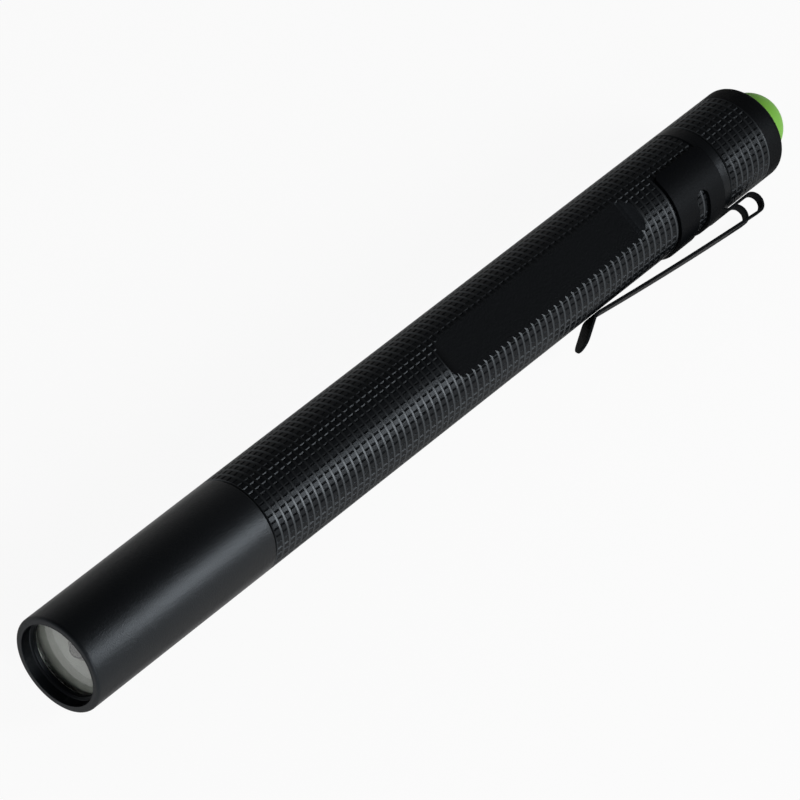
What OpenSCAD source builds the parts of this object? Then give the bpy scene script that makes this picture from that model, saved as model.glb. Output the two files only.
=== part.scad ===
// Pen torch for two AAA cells: smooth head, grooved barrel with a flat panel,
// spring-steel pocket clip, and a tail cap with a rubber push button.
// The torch lies along +X, front rim at the origin, rolled onto its clip.

/* [Tube] */
// Outside diameter of the head, the barrel and the tail cap
tube_d = 13.6; // [13.4:0.1:16]
// Length of the head, from the front rim to the barrel seam
head_len = 32.9; // [32:0.1:40]
// Length of the tail cap
cap_len = 11.9; // [11.8:0.1:16]
// Width of the dark gap at each seam
seam_gap = 0.1; // [0.06:0.01:0.2]
// Chamfer on the edges beside a seam
seam_chamfer = 0.25; // [0.22:0.01:0.35]
// Bore of the barrel, a little over a cell
bore_d = 10.8; // [10.7:0.05:11.2]
// Outside diameter of the two threaded necks of the barrel
neck_d = 12; // [11.8:0.05:12.4]
// Length of the neck inside the head
head_neck_len = 6.5; // [5:0.1:9]
// Length of the neck inside the tail cap
tail_neck_len = 6.4; // [5:0.1:6.6]
// Radial running clearance of the tail cap's thread
thread_clear = 0.06; // [0.03:0.01:0.1]

/* [Front rim] */
// Edge break on the outside of the front rim
rim_round = 0.45; // [0.2:0.05:0.8]
// Diameter of the mouth in the front rim
mouth_d = 11.6; // [11:0.1:12]
// Depth of the mouth, down to the lip that holds the lens
mouth_depth = 1.5; // [1:0.1:3]
// Inside diameter of the lip
lip_d = 10.7; // [10:0.1:11]
// Depth of the lens behind the front rim
lens_depth = 2.15; // [1.8:0.05:4]

/* [Light] */
// Diameter of the lens
lens_d = 11.7; // [11.2:0.05:11.8]
// Thickness of the lens
lens_t = 1.2; // [0.8:0.1:2]
// Wire diameter of the lens seal
seal_d = 0.5; // [0.4:0.02:0.56]
// Mouth diameter of the reflector's bowl
bowl_d = 11.4; // [11:0.1:11.5]
// Depth of the reflector's shallow bowl, from its mouth to the diode's hole
bowl_depth = 1.1; // [1.1:0.05:1.4]
// Diameter of the hole for the light-emitting diode
led_hole_d = 3.2; // [2.9:0.1:3.6]
// Side of the diode's square package
led_side = 3.5; // [3:0.1:4]
// Diameter of the diode's dome
led_dome_d = 2.6; // [2:0.1:2.8]
// Height of the diode's package, without its dome
led_h = 0.4; // [0.3:0.05:0.8]
// Thickness of the circuit boards
board_t = 1; // [0.8:0.1:1.6]
// Distance from the driver board to the front end of the barrel
driver_inset = 6.4; // [5:0.1:8]

/* [Cells] */
// Diameter of a cell
cell_d = 10.5; // [10:0.1:10.5]
// Length of a cell, with its positive nub
cell_len = 44.5; // [43:0.1:44.5]
// Diameter of the positive nub
nub_d = 3.8; // [3:0.1:4]
// Height of the positive nub
nub_h = 0.9; // [0.8:0.1:1.2]
// Working length of the front contact spring
front_spring_len = 7; // [5:0.1:8]
// Working length of the tail contact spring
tail_spring_len = 9.3; // [7:0.1:12]

/* [Grooves] */
// Pitch of the ring grooves
groove_pitch = 1.2; // [1:0.05:2]
// Width of a ring groove at the surface
groove_w = 0.36; // [0.2:0.02:0.6]
// Depth of a ring groove
groove_depth = 0.22; // [0.1:0.02:0.3]
// Length of the plain ring at the barrel's tail end
plain_ring = 1.9; // [1:0.1:3]
// Length of the plain zone at the tail cap's end
plain_end = 3.7; // [2.5:0.1:4]

/* [Panel] */
// Distance from the end of the panel's flat to the clip's band
panel_clear = 8; // [4:0.1:12]
// Length of the panel's flat, without its run-outs
panel_len = 35.4; // [20:0.1:40]
// Depth of the panel below the tube's surface
panel_depth = 0.8; // [0.4:0.05:0.9]
// Radius of the cutter that leaves the run-outs
cutter_r = 5; // [3:0.5:10]

/* [Clip] */
// Thickness of the clip's sheet
sheet_t = 0.4; // [0.35:0.05:0.6]
// Clearance between the clip's band and the barrel
band_clear = 0.03; // [0.02:0.01:0.1]
// Width of the band along the barrel
band_w = 9.6; // [8:0.1:12]
// Distance from the band's rear edge to the tail seam
band_inset = 1.9; // [1.5:0.1:4]
// Half of the band's wrap, each way from the clip's middle
band_wrap = 110; // [100:1:125]
// Corner radius of the band's ends
band_corner = 1; // [0.5:0.1:2]
// Width of the slot that runs round the band
band_slot_w = 2.4; // [2:0.1:4]
// Shift of the slot from the band's middle towards the tail
slot_shift = 0.4; // [0:0.1:1]
// Half of the slot's wrap, each way from the clip's middle
slot_wrap = 57; // [45:1:85]
// Reach of the clip's arm from the tube's axis
clip_reach = 10; // [9.5:0.05:12]
// Width of the clip at its loop
clip_w = 5.3; // [4:0.1:7]
// Width of each leg of the loop
leg_w = 1.15; // [0.8:0.05:1.5]
// Clearance of the legs over the tail cap, at their inner edges
leg_clear = 0.24; // [0.2:0.02:0.5]
// Distance from the tail seam to the end of the loop
loop_overhang = 4.8; // [3.5:0.1:6]
// Distance from the loop's end forward to where the arm meets the barrel
arm_len = 33.3; // [25:0.1:36]
// Angle at which the arm leaves the loop
arm_lead = 3.8; // [2:0.1:5]
// Gap where the arm meets the barrel
arm_gap = 0.04; // [0.03:0.01:0.2]
// Width of the clip at its lifting tab
tab_w = 3.4; // [2.5:0.1:5]
// Length of the lifting tab
tab_len = 4.8; // [3:0.1:8]
// Angle of the lifting tab
tab_angle = 28; // [20:1:45]
// Outside radius of the bend where the arm meets the barrel
bend_r = 2.8; // [1:0.1:3]
// Length of the slot into the arm, from the loop's centre
arm_slot_len = 3.4; // [2:0.1:6]

/* [Tail] */
// Thickness of the tail cap's end wall
cap_wall = 1.6; // [1.3:0.1:2]
// Edge radius of the tail cap's end
cap_round = 1; // [0.8:0.1:1.3]
// Diameter of the rubber button's dome
dome_d = 9.7; // [8:0.1:10]
// Straight part of the dome outside the tail cap
dome_rise = 0.7; // [0:0.1:2]
// Radial clearance of the dome in its hole
dome_clear = 0.05; // [0.03:0.01:0.1]
// Wall of the rubber boot
boot_wall = 0.9; // [0.6:0.1:1.2]
// Thickness of the boot's flange
boot_flange_t = 0.8; // [0.6:0.1:1]
// Travel of the push button
button_travel = 1.5; // [1:0.1:1.8]
// Thickness of the retaining ring
ring_t = 1.5; // [1:0.1:1.6]
// Thickness of the switch carrier's flange
carrier_flange_t = 1.2; // [0.8:0.1:1.4]
// Length of the switch carrier
carrier_len = 8.8; // [8:0.1:9.5]
// Outside diameter of the switch carrier's cup
carrier_d = 9.4; // [9:0.1:9.6]
// Diameter of the switch body
switch_d = 7.8; // [7:0.1:8]
// Diameter of the switch plunger
plunger_d = 3.3; // [2.5:0.1:3.6]

/* [Hidden] */
$fn = 96;

// One overrun serves all cuts, and one hair keeps curved cuts from being tangent
overrun = 1;
hair = 0.02;
// Radial clearance of pieces that are pushed into a bore and stay there
fit_clear = 0.05;
arc_steps = 8;
bow_steps = 14;

// Tube
tube_r = tube_d / 2;
bore_r = bore_d / 2;
neck_r = neck_d / 2;
socket_r = neck_r + thread_clear;
neck_chamfer = 0.3;
neck_x = head_len - head_neck_len;
seam_x = head_len + seam_gap;

// Boards, cells and springs in line, from the barrel's front end back to the switch
driver_x = neck_x - driver_inset;
driver_back = driver_x + board_t;
cell_x = driver_back + front_spring_len;
cells_end = cell_x + 2 * cell_len;
switch_board_x = cells_end + tail_spring_len;
carrier_x = switch_board_x + board_t;
boot_flange_x = carrier_x + carrier_len;
wall_x = boot_flange_x + boot_flange_t;
cap_end = wall_x + cap_wall;
cap_x = cap_end - cap_len;
tail_seam_x = cap_x - seam_gap;
tail_neck_x = tail_seam_x + tail_neck_len;
barrel_len = tail_seam_x - head_len;

// O-rings in the necks, and the grooves that hold them
o_ring_d = 0.32;
o_ring_groove = 0.3;
o_ring_groove_w = 0.46;
o_ring_inset = 0.9;
o_ring_r = neck_r - o_ring_groove + o_ring_d / 2 + hair;

// Front optics, each seated on the one before
pocket_r = lens_d / 2 + fit_clear;
mouth_chamfer = 0.15;
lens_x = lens_depth;
lens_back = lens_x + lens_t;
land_t = 0.45;
seal_groove_x = lens_back + land_t;
seal_x = seal_groove_x + seal_d / 2 + hair;
flange_x = seal_groove_x + seal_d + 2 * hair;
seal_r = pocket_r - seal_d / 2 - hair;
seal_groove_r = seal_r - seal_d / 2 - hair;
flange_r = lens_d / 2;
bowl_r = bowl_d / 2;
bowl_steps = 12;
led_hole_r = led_hole_d / 2;
led_hole_x = lens_back + bowl_depth;
bowl_lip = 0.35;
bowl_back = led_hole_x + bowl_lip;

// Diode, boards and pill
gasket_share = 0.58;
gasket_r = flange_r * gasket_share;
led_board_x = bowl_back + led_h;
led_board_r = flange_r - 2 * fit_clear;
pill_x = led_board_x + board_t;
pill_r = pocket_r - fit_clear;
ledge = 0.4;
pill_wall = 0.6;
driver_r = pill_r - pill_wall - fit_clear;
cavity_r = driver_r - ledge;
wire_d = 0.9;
wire_hole_d = 1.3;
wire_spread_share = 0.62;
insulator_t = 1.2;
insulator_hole_d = 6.4;
chip_w = 3.2;
chip_l = 2.4;
chip_h = 1;
coil_d = 2.6;
coil_h = 1.7;
coil_offset_share = 0.5;
component_room = 0.3;
cavity_x = driver_x - coil_h - component_room;

// Cells and their springs
cell_r = cell_d / 2;
cell_edge = 0.5;
spring_wire = 0.6;
front_spring_d = 4.6;
front_spring_tip_d = 3;
front_spring_turns = 4;
tail_spring_d = 7.6;
tail_spring_tip_d = 5;
tail_spring_turns = 5;

// Ring grooves
groove_floor_share = 0.5;
groove_floor_w = groove_w * groove_floor_share;
barrel_grooves = floor((barrel_len - plain_ring - seam_gap) / groove_pitch);
cap_grooves = floor((cap_len - plain_end) / groove_pitch);

// Clip and panel
band_r = tube_r + band_clear;
band_out = band_r + sheet_t;
band_x1 = tail_seam_x - band_inset;
band_x0 = band_x1 - band_w;
slot_x = (band_x0 + band_x1) / 2 + slot_shift;
panel_x1 = band_x0 - panel_clear;
panel_x0 = panel_x1 - panel_len;
corner_relief_share = 1.02;
slot_end_share = 0.98;
leg_in = clip_w / 2 - leg_w;
leg_low = sqrt(pow(tube_r, 2) - pow(leg_in, 2)) + leg_clear;
leg_root_low = sqrt(pow(band_r, 2) - pow(leg_in, 2)) + hair;
leg_root_x = band_x1 - sheet_t * 2;
leg_rise_x = (band_x1 + cap_x) / 2;
loop_r = (clip_reach - leg_low) / 2;
loop_v = leg_low + loop_r;
loop_x = tail_seam_x + loop_overhang - loop_r;
touch_v = tube_r + arm_gap;
touch_x = tail_seam_x + loop_overhang - arm_len;
arm_run = loop_x - touch_x;
// The arm's bow is tangent to the loop at its lead angle and to the bend over the barrel
bend_at = [touch_x, touch_v + bend_r];
lead_way = [-sin(arm_lead), cos(arm_lead)];
bend_from_loop = bend_at - [loop_x, loop_v];
bow_join = loop_r - sheet_t + bend_r;
bow_more = (pow(norm(bend_from_loop), 2) - pow(bow_join, 2)) / (2 * (bow_join - bend_from_loop * lead_way));
arm_r = loop_r + bow_more;
bow_at = [loop_x, loop_v] - bow_more * lead_way;
arm_slope = atan((bow_at[0] - touch_x) / (bend_at[1] - bow_at[1]));
taper_share = 0.8;
taper_x = touch_x + arm_run * taper_share;
tab_x = touch_x - (tab_len - tab_w / 2) * cos(tab_angle) - bend_r * sin(tab_angle);
clip_span = arm_len + tab_len + bend_r;
// Roll that lets the band and the edge of the arm both touch the table
roll = asin(band_out / norm([clip_reach, clip_w / 2])) - atan(clip_w / 2 / clip_reach);

// Tail switch, each piece seated on the one behind
dome_r = dome_d / 2;
hole_r = dome_r + dome_clear;
boot_in_r = dome_r - boot_wall;
boot_flange_r = socket_r - fit_clear;
carrier_flange_x = boot_flange_x - carrier_flange_t;
ring_x = carrier_flange_x - ring_t;
ring_in_r = carrier_d / 2 + fit_clear;
spanner_w = 1.2;
carrier_floor = 1;
switch_r = switch_d / 2;
terminal_h = 0.5;
terminal_d = 0.8;
switch_x = carrier_x + terminal_h;
switch_back = boot_flange_x - carrier_floor;
switch_floor = 1;
plunger_r = plunger_d / 2;
plunger_hole_r = plunger_r + thread_clear;
switch_spring_len = 2.8;
plunger_end = switch_x + switch_floor + switch_spring_len;
plunger_head_r = 2.6;
plunger_head_t = 0.7;
plunger_head_x = boot_flange_x + button_travel + 3 * fit_clear;
post_r = 1.5;
post_x = plunger_head_x + plunger_head_t;
board_clear = 0.2;
switch_board_r = bore_r - board_clear;
switch_wire = 0.3;
switch_turns = 3.5;

// Everything is drawn with the panel up and the clip along -Y, then rolled
module lie() { rotate([roll, 0, 0]) children(); }

// Turns an outline of [radius, place along X] about the torch's axis
module turned() { rotate([0, 90, 0]) rotate_extrude() children(); }

// A plain ring or disc, in the plane that turned() uses
module hoop(r0, r1, x0, x1) { translate([r0, x0]) square([r1 - r0, x1 - x0]); }

module rod(r, x0, x1) { translate([x0, 0, 0]) rotate([0, 90, 0]) cylinder(r = r, h = x1 - x0); }

// Points of an arc, without the first one where another arc has just reached it
function arc(middle, r, a0, a1, first = 0, steps = arc_steps) = [
    for (i = [first:steps]) let (a = a0 + (a1 - a0) * i / steps) middle + r * [cos(a), sin(a)]];

// Outline points of count ring grooves, the first one pitch after x
function grooves(x, count) = [
    for (i = [1:count], p = [[0, -groove_w / 2], [-groove_depth, -groove_floor_w / 2],
            [-groove_depth, groove_floor_w / 2], [0, groove_w / 2]])
        [tube_r + p[0], x + i * groove_pitch + p[1]]];

// Outline points of the groove for an O-ring, from x0
function seat(x0) = [
    [neck_r, x0], [neck_r - o_ring_groove, x0],
    [neck_r - o_ring_groove, x0 + o_ring_groove_w], [neck_r, x0 + o_ring_groove_w]];

// One unbroken round wire wound about X
coil_sides = 6;
coil_rings = 8;
function coil_path(d0, d1, x0, x1, turns, wire) = [
    for (i = [0:turns * coil_rings]) let (s = i / (turns * coil_rings), a = 360 * turns * s,
        r = (d0 + (d1 - d0) * s - wire) / 2)
        [x0 + wire / 2 + (x1 - x0 - wire) * s, r * cos(a), r * sin(a)]];
function coil_gap(path, wire) = min([
    for (i = [0:len(path) - 1], k = [i + coil_rings / 2:1:len(path) - 1]) norm(path[i] - path[k])]) - wire;

module coil(name, d0, d1, x0, x1, turns, wire) {
    path = coil_path(d0, d1, x0, x1, turns, wire);
    last = len(path) - 1;
    echo(str(name, " least gap between turns"), coil_gap(path, wire));
    points = [for (p = path, k = [0:coil_sides - 1]) let (a = 360 * k / coil_sides, out = [0, p[1], p[2]])
        p + wire / 2 * (cos(a) * out / norm(out) + sin(a) * [1, 0, 0])];
    sides = [for (i = [0:last - 1], k = [0:coil_sides - 1]) let (n = (k + 1) % coil_sides, a = i * coil_sides,
        b = a + coil_sides) each [[a + k, b + n, a + n], [a + k, b + k, b + n]]];
    caps = [for (k = [1:coil_sides - 2]) each [[0, k, k + 1],
        [last * coil_sides, last * coil_sides + k + 1, last * coil_sides + k]]];
    polyhedron(points, concat(sides, caps));
}

module head_shell() {
    color("#1b1d20") turned() polygon(concat(
        [[mouth_d / 2 + mouth_chamfer, 0]],
        arc([tube_r - rim_round, rim_round], rim_round, -90, 0),
        [[tube_r, head_len - seam_chamfer], [tube_r - seam_chamfer, head_len],
            [socket_r, head_len], [socket_r, neck_x - neck_chamfer],
            [pocket_r, neck_x - neck_chamfer], [pocket_r, lens_x], [lip_d / 2, lens_x],
            [lip_d / 2, mouth_depth + mouth_chamfer], [mouth_d / 2, mouth_depth],
            [mouth_d / 2, mouth_chamfer]]));
}

module lens() {
    color("#c8d4d8", 0.4) turned() hoop(0, lens_d / 2, lens_x, lens_back);
}

module lens_seal() {
    color("#202020") turned() translate([seal_r, seal_x]) circle(d = seal_d, $fn = 24);
}

module reflector() {
    across = pow(bowl_r, 2) - pow(led_hole_r, 2);
    mouth_to_hole = [for (i = [0:bowl_steps])
        let (r = bowl_r + (led_hole_r - bowl_r) * i / bowl_steps)
        [r, lens_back + bowl_depth * (pow(bowl_r, 2) - pow(r, 2)) / across]];
    color("#d6d8da") turned() polygon(concat(
        mouth_to_hole,
        [[led_hole_r, bowl_back], [flange_r, bowl_back], [flange_r, flange_x],
            [seal_groove_r, flange_x], [seal_groove_r, seal_groove_x],
            [flange_r, seal_groove_x], [flange_r, lens_back]]));
}

module led_emitter() {
    color("#e8d36a") {
        translate([led_board_x - led_h, -led_side / 2, -led_side / 2]) cube([led_h, led_side, led_side]);
        intersection() {
            translate([led_board_x - led_h, 0, 0]) sphere(d = led_dome_d);
            rod(led_side, led_board_x - led_h - led_dome_d, led_board_x - led_h / 2);
        }
    }
}

module led_gasket() {
    hole = led_side + 2 * fit_clear;
    color("#e6e6e2") difference() {
        rod(gasket_r, bowl_back, led_board_x);
        translate([bowl_back - overrun, -hole / 2, -hole / 2])
            cube([led_h + 2 * overrun, hole, hole]);
    }
}

module led_board() {
    color("#e9eceb") rod(led_board_r, led_board_x, pill_x);
}

// The two places, one each side, where the diode's wires run
module wire_places() {
    for (side = [-1, 1]) translate([0, side * cavity_r * wire_spread_share, 0]) children();
}

module led_wires() {
    color("#b3262a") wire_places() rod(wire_d / 2, pill_x, driver_x);
}

module heat_sink_pill() {
    color("#b9bcc0") difference() {
        turned() polygon([[0, pill_x], [pill_r, pill_x], [pill_r, neck_x - seam_gap / 2],
            [driver_r + fit_clear, neck_x - seam_gap / 2], [driver_r + fit_clear, driver_x],
            [cavity_r, driver_x], [cavity_r, cavity_x], [0, cavity_x]]);
        wire_places() rod(wire_hole_d / 2, pill_x - overrun, cavity_x + overrun);
    }
}

module driver_board() {
    color("#1f6b3a") rod(driver_r, driver_x, driver_back);
}

module driver_components() {
    color("#2a2a2c") {
        translate([driver_x - chip_h, -chip_w / 2, cavity_r * coil_offset_share - chip_l / 2])
            cube([chip_h, chip_w, chip_l]);
        translate([0, 0, -cavity_r * coil_offset_share]) rod(coil_d / 2, driver_x - coil_h, driver_x);
    }
}

module contact_insulator() {
    color("#d8d2c0")
        turned() hoop(insulator_hole_d / 2, driver_r, driver_back, driver_back + insulator_t);
}

module positive_spring() {
    color("#c9a24a") coil("front spring", front_spring_d, front_spring_tip_d, driver_back, cell_x,
        front_spring_turns, spring_wire);
}

module o_ring(x) {
    color("#202020") turned() translate([o_ring_r, x]) circle(d = o_ring_d, $fn = 24);
}

module head_o_ring() { o_ring(head_len - o_ring_inset - o_ring_groove_w / 2); }

module tail_o_ring() { o_ring(tail_seam_x + o_ring_inset + o_ring_groove_w / 2); }

// The volume that the panel's cutter sweeps, with a round run-out at each end
module panel_cut() {
    floor_v = tube_r - panel_depth;
    translate([panel_x0, -tube_r, floor_v]) cube([panel_len, tube_d, tube_r]);
    for (x = [panel_x0, panel_x1]) translate([x, 0, floor_v + cutter_r + hair])
        rotate([90, 0, 0]) cylinder(r = cutter_r, h = tube_d, center = true);
}

module barrel() {
    color("#1b1d20") difference() {
        turned() polygon(concat(
            [[bore_r, neck_x], [neck_r - neck_chamfer, neck_x], [neck_r, neck_x + neck_chamfer]],
            seat(head_len - o_ring_inset - o_ring_groove_w),
            [[neck_r, seam_x], [tube_r - seam_chamfer, seam_x], [tube_r, seam_x + seam_chamfer]],
            grooves(seam_x, barrel_grooves),
            [[tube_r, tail_seam_x - seam_chamfer], [tube_r - seam_chamfer, tail_seam_x],
                [neck_r, tail_seam_x]],
            seat(tail_seam_x + o_ring_inset),
            [[neck_r, tail_neck_x - neck_chamfer], [neck_r - neck_chamfer, tail_neck_x],
                [bore_r, tail_neck_x]]));
        panel_cut();
    }
}

module cell(x) {
    color("#5c6a70") turned() polygon([[0, x], [nub_d / 2, x], [nub_d / 2, x + nub_h],
        [cell_r - cell_edge, x + nub_h], [cell_r, x + nub_h + cell_edge],
        [cell_r, x + cell_len - cell_edge], [cell_r - cell_edge, x + cell_len], [0, x + cell_len]]);
}

module front_cell() { cell(cell_x); }

module rear_cell() { cell(cell_x + cell_len); }

// Turns an outline about X over an angle each way from the clip's middle
module swept(half) {
    rotate([0, 90, 0]) rotate([0, 0, -90 - half]) rotate_extrude(angle = 2 * half) children();
}

// Puts a shape drawn on the clip's middle line, along -Y, at an angle round the tube
module round_tube(angle) { rotate([angle, 0, 0]) children(); }

// Sharp corner outside a rounded one, cut through an end of the band
module corner_cut(end, side) {
    size = band_corner + overrun;
    rotate([90, 0, 0]) linear_extrude(band_out + overrun) difference() {
        translate([end > 0 ? 0 : -size, side > 0 ? -size : 0]) square(size);
        circle(r = band_corner * corner_relief_share);
    }
}

// The clip is drawn from the side with the tube's axis below, and extruded across
module clip_side(w) { rotate([180, 0, 0]) linear_extrude(w, center = true) children(); }

module clip_leg() {
    middle = [loop_x, loop_v];
    polygon(concat(
        [[leg_root_x, leg_root_low], [band_x1, leg_root_low], [leg_rise_x, leg_low]],
        arc(middle, loop_r, -90, 0),
        arc(middle, loop_r - sheet_t, 0, -90),
        [[leg_rise_x, leg_low + sheet_t], [band_x1, leg_root_low + sheet_t],
            [leg_root_x, leg_root_low + sheet_t]]));
}

module slotted_band() {
    difference() {
        difference() {
            swept(band_wrap) hoop(band_r, band_out, band_x0, band_x1);
            swept(slot_wrap) hoop(band_r - overrun, band_out + overrun,
                slot_x - band_slot_w / 2, slot_x + band_slot_w / 2);
        }
        for (side = [-1, 1]) round_tube(side * slot_wrap) translate([slot_x, 0, 0]) rotate([90, 0, 0])
            cylinder(d = band_slot_w * slot_end_share, h = band_out + overrun);
    }
}

module clip_band() {
    corner_turn = band_wrap - asin(band_corner / band_r);
    color("#17181a") {
        difference() {
            slotted_band();
            for (side = [-1, 1], end = [-1, 1]) round_tube(side * corner_turn)
                translate([end > 0 ? band_x1 - band_corner : band_x0 + band_corner, 0, 0])
                    corner_cut(end, side);
        }
        for (side = [-1, 1]) translate([0, 0, side * (clip_w - leg_w) / 2]) clip_side(leg_w) clip_leg();
    }
}

// The arm from the side: quarter of the loop, a long bow, a bend and the lifting tab
module arm_profile() {
    loop = [loop_x, loop_v];
    along = tab_len * [-cos(tab_angle), sin(tab_angle)];
    out = [-sin(tab_angle), -cos(tab_angle)];
    polygon(concat(
        arc(loop, loop_r, 0, 90 + arm_lead),
        arc(bow_at, arm_r, 90 + arm_lead, 90 + arm_slope, 1, bow_steps),
        arc(bend_at, bend_r - sheet_t, -90 + arm_slope, -90 - tab_angle, 1),
        [bend_at + along + (bend_r - sheet_t) * out, bend_at + along + bend_r * out],
        arc(bend_at, bend_r, -90 - tab_angle, -90 + arm_slope),
        arc(bow_at, arm_r - sheet_t, 90 + arm_slope, 90 + arm_lead, 1, bow_steps),
        arc(loop, loop_r - sheet_t, 90 + arm_lead, 0, 1)));
}

// Outline of the arm from above: legs at the loop, a taper, and a round tab
module arm_plan() {
    end = loop_x + loop_r + overrun;
    difference() {
        union() {
            polygon([[end, -clip_w / 2], [end, clip_w / 2], [taper_x, clip_w / 2], [touch_x, tab_w / 2],
                [tab_x, tab_w / 2], [tab_x, -tab_w / 2], [touch_x, -tab_w / 2], [taper_x, -clip_w / 2]]);
            translate([tab_x, 0]) circle(d = tab_w);
        }
        translate([loop_x - arm_slot_len, -leg_in]) square([clip_span, 2 * leg_in]);
        translate([loop_x - arm_slot_len, 0]) circle(r = leg_in * slot_end_share);
    }
}

module clip_arm() {
    color("#17181a") intersection() {
        clip_side(clip_w + overrun) arm_profile();
        rotate([90, 0, 0]) linear_extrude(clip_reach + overrun) arm_plan();
    }
}

module tail_cap() {
    color("#1b1d20") turned() polygon(concat(
        [[socket_r, cap_x], [tube_r - seam_chamfer, cap_x], [tube_r, cap_x + seam_chamfer]],
        grooves(cap_x, cap_grooves),
        arc([tube_r - cap_round, cap_end - cap_round], cap_round, 0, 90),
        [[hole_r, cap_end], [hole_r, wall_x], [socket_r, wall_x]]));
}

module retaining_ring() {
    color("#b9bcc0") difference() {
        turned() hoop(ring_in_r, socket_r - fit_clear, ring_x, carrier_flange_x);
        for (side = [-1, 1])
            translate([ring_x - overrun, -spanner_w / 2, side > 0 ? ring_in_r - overrun : -tube_r])
                cube([ring_t / 2 + overrun, spanner_w, tube_r - ring_in_r + overrun]);
    }
}

module switch_carrier() {
    color("#d8d2c0") turned() polygon([
        [switch_r + fit_clear, carrier_x], [carrier_d / 2, carrier_x], [carrier_d / 2, carrier_flange_x],
        [boot_flange_r, carrier_flange_x], [boot_flange_r, boot_flange_x], [plunger_hole_r, boot_flange_x],
        [plunger_hole_r, switch_back], [switch_r + fit_clear, switch_back]]);
}

module switch_body() {
    color("#2a2a2c") turned() polygon([
        [0, switch_x], [switch_r, switch_x], [switch_r, switch_back], [plunger_hole_r, switch_back],
        [plunger_hole_r, switch_x + switch_floor], [0, switch_x + switch_floor]]);
}

module switch_terminals() {
    color("#c9a24a") for (side = [-1, 1]) translate([0, 0, side * switch_r / 2])
        rod(terminal_d / 2, carrier_x, switch_x);
}

module switch_board() {
    color("#1f6b3a") rod(switch_board_r, switch_board_x, carrier_x);
}

module negative_spring() {
    color("#c4c7ca") coil("tail spring", tail_spring_tip_d, tail_spring_d, cells_end, switch_board_x,
        tail_spring_turns, spring_wire);
}

module switch_plunger() {
    color("#e6e6e2") turned() polygon([
        [0, plunger_end], [plunger_r, plunger_end], [plunger_r, plunger_head_x],
        [plunger_head_r, plunger_head_x], [plunger_head_r, post_x], [0, post_x]]);
}

module switch_spring() {
    color("#c4c7ca") coil("switch spring", plunger_d, plunger_d, switch_x + switch_floor, plunger_end,
        switch_turns, switch_wire);
}

module button_boot() {
    middle = [0, cap_end + dome_rise];
    color("#6aa83c") turned() polygon(concat(
        [[boot_in_r, boot_flange_x], [boot_flange_r, boot_flange_x], [boot_flange_r, wall_x - hair],
            [dome_r, wall_x - hair]],
        arc(middle, dome_r, 0, 90),
        [[0, post_x], [post_r, post_x]],
        arc(middle, boot_in_r, acos(post_r / boot_in_r), 0)));
}

lie() head_shell();
lie() lens();
lie() lens_seal();
lie() reflector();
lie() led_emitter();
lie() led_gasket();
lie() led_board();
lie() led_wires();
lie() heat_sink_pill();
lie() driver_board();
lie() driver_components();
lie() contact_insulator();
lie() positive_spring();
lie() head_o_ring();
lie() barrel();
lie() front_cell();
lie() rear_cell();
lie() clip_band();
lie() clip_arm();
lie() tail_o_ring();
lie() tail_cap();
lie() retaining_ring();
lie() switch_carrier();
lie() switch_body();
lie() switch_terminals();
lie() switch_board();
lie() negative_spring();
lie() switch_plunger();
lie() switch_spring();
lie() button_boot();
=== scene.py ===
import bpy
import bmesh
import math
from mathutils import Matrix, Vector


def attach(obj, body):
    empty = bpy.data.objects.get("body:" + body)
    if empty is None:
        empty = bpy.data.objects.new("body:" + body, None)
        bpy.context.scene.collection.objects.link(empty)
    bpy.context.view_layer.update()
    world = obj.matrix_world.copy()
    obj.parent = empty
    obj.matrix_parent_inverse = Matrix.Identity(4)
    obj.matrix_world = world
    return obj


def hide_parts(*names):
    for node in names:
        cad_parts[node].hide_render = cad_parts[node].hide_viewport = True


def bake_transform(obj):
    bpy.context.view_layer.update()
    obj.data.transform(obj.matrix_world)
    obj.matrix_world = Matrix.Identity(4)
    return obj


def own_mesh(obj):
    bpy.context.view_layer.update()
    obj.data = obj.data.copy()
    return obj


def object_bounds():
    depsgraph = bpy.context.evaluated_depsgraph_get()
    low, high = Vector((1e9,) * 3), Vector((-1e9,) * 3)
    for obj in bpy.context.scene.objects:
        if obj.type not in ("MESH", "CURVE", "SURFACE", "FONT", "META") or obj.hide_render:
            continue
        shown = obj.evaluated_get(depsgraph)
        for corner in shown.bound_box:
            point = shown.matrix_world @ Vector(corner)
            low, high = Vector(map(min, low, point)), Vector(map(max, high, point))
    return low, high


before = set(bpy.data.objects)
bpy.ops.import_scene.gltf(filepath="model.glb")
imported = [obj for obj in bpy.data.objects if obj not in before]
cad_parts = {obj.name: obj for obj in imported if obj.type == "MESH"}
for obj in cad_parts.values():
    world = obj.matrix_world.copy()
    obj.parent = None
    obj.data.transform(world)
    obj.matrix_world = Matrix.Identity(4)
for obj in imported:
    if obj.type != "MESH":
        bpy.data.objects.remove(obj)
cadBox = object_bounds()
print("frame loaded:", len(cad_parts), "nodes")

mm = 0.001
weld, near = 1e-7, 1e-6  # metres within which points are merged, or count as level
tube = {"radius": 6.8, "headEnd": 32.9, "barrelStart": 33.0, "barrelEnd": 126.5, "capStart": 126.6,
        "capEnd": 138.5, "neck": 6.0, "bore": 5.4, "barrelRings": 76, "capRings": 7,
        "clipRoll": 29.49474822191464}
r = tube["radius"]
lieTurn = Matrix.Rotation(math.radians(tube["clipRoll"]), 4, "X")  # pieces are drawn panel up, clip along -Y
panelWay = lieTurn @ Vector((0, 0, 1))
clipWay = lieTurn @ Vector((0, -1, 0))


# each value is a setting of the node or one of its sockets, whose name has _ for a space
def addNode(tree, kind, place, **values):
    node = tree.nodes.new(kind)
    node.location = place
    for name, value in values.items():
        if hasattr(node, name):
            setattr(node, name, value)
        else:
            node.inputs[name.replace("_", " ")].default_value = value
    return node


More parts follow.
